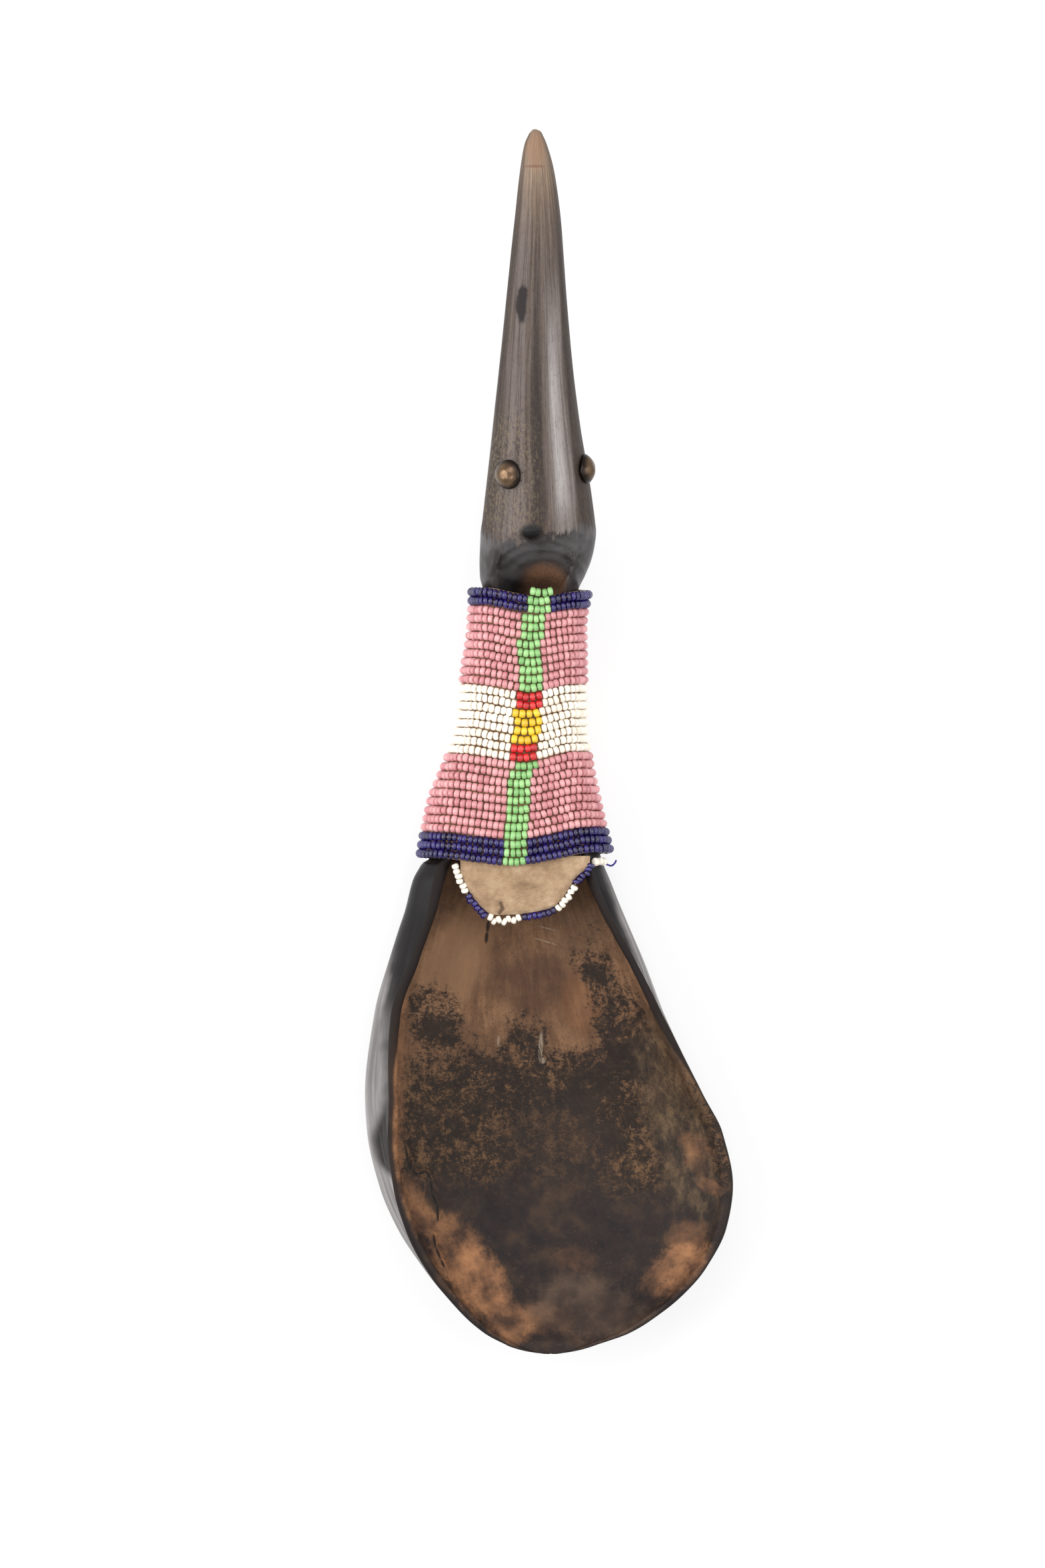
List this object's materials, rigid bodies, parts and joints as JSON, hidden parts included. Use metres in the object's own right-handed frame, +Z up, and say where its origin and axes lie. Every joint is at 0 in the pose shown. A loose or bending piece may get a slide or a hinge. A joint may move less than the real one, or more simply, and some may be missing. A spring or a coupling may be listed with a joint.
{
  "type": "horn spoon",
  "caption": "Carved horn spoon with a deep lopsided bowl, a solid pointed handle shaped like a bird's head with tack eyes, and a striped glass-beaded hide sleeve round its neck.",
  "frame": {"origin": "middle of the worn flat under the bowl, where the spoon lies on a table", "axes": "+Y along the spoon towards the tip of the handle, +X to the right seen from above with the tip up, +Z up out of the bowl"},
  "size_m": [0.0785, 0.2604, 0.0467],
  "materials": {
    "horn": "satin",
    "brass": "satin",
    "hide": "matte",
    "sinew": "satin",
    "navy_glass": "gloss",
    "pink_glass": "gloss",
    "white_glass": "gloss",
    "green_glass": "gloss",
    "red_glass": "gloss",
    "yellow_glass": "gloss"
  },
  "bodies": {
    "spoon": {"horn": "horn", "tack_left": "brass", "tack_right": "brass", "hide_sleeve": "hide", "beads_navy_bottom_left": "navy_glass", "beads_pink_lower_left": "pink_glass", "beads_white_left": "white_glass", "beads_pink_upper_left": "pink_glass", "beads_navy_top_left": "navy_glass", "beads_navy_bottom_right": "navy_glass", "beads_pink_lower_right": "pink_glass", "beads_white_right": "white_glass", "beads_pink_upper_right": "pink_glass", "beads_navy_top_right": "navy_glass", "stripe_green_lower": "green_glass", "stripe_red_lower": "red_glass", "stripe_yellow": "yellow_glass", "stripe_red_upper": "red_glass", "stripe_green_upper": "green_glass", "seam_sinew": "sinew", "edge_end_white": "white_glass"},
    "tongue": {"hide_tongue": "hide", "tongue_edge_white_1": "white_glass", "tongue_edge_navy_2": "navy_glass", "tongue_edge_white_3": "white_glass", "tongue_edge_navy_4": "navy_glass", "tongue_edge_white_5": "white_glass", "tongue_edge_navy_6": "navy_glass"}
  },
  "joints": [
    {"name": "tongue_lift", "type": "hinge", "parent": "spoon", "child": "tongue", "pos_m": [-0.0034, 0.0513, 0.01933], "axis": [-1, 0, 0], "range_deg": [0, 40]}
  ]
}
